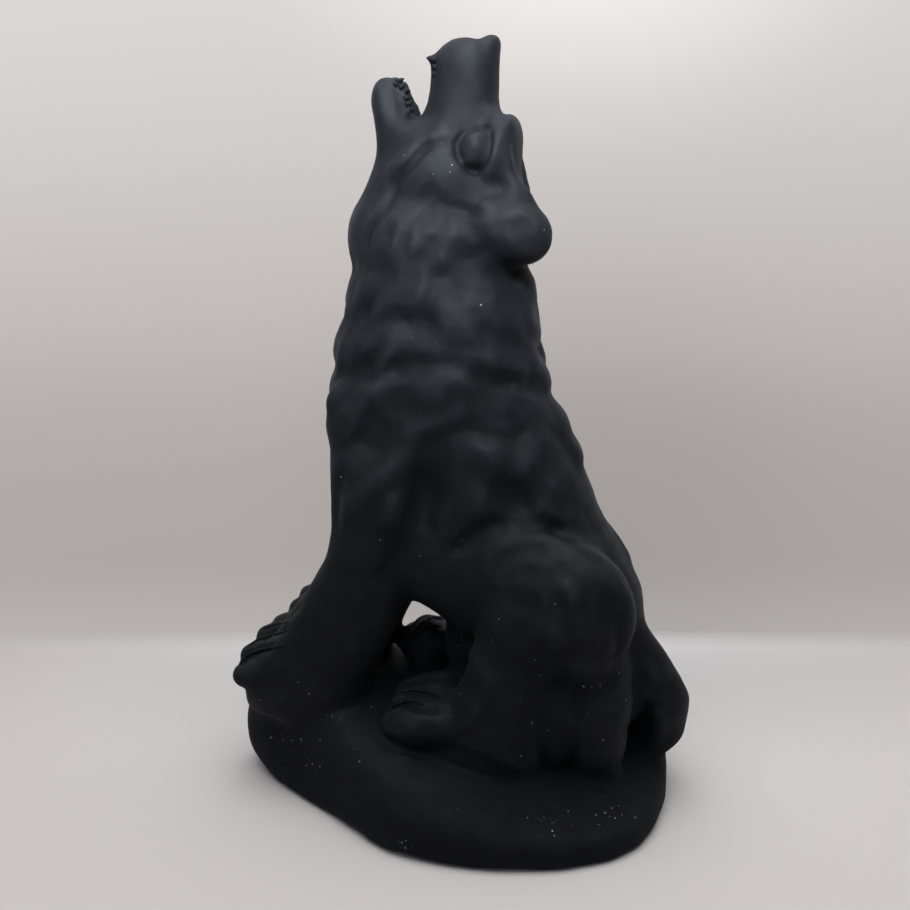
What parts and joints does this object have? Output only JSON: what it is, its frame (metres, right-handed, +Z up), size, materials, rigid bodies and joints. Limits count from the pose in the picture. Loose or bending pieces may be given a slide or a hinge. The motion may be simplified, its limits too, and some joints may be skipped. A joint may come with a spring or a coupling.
{
  "type": "howling wolf figurine",
  "caption": "Free-standing figurine of a seated wolf howling with its muzzle straight up, on a rounded rock base, cast as one solid matt black piece.",
  "frame": {"origin": "centre of the outline seen from above, on the flat underside of the rock", "axes": "+Z up towards the nose, the wolf faces -Y, +X towards the wolf's left side"},
  "size_m": [0.097, 0.126, 0.2001],
  "materials": {
    "matt_black_cast": "matt black through-coloured casting with a faint sheen on worn ridges and scattered pale dust specks"
  },
  "bodies": {
    "root": {"wolf_figurine": "matt_black_cast"}
  },
  "joints": []
}
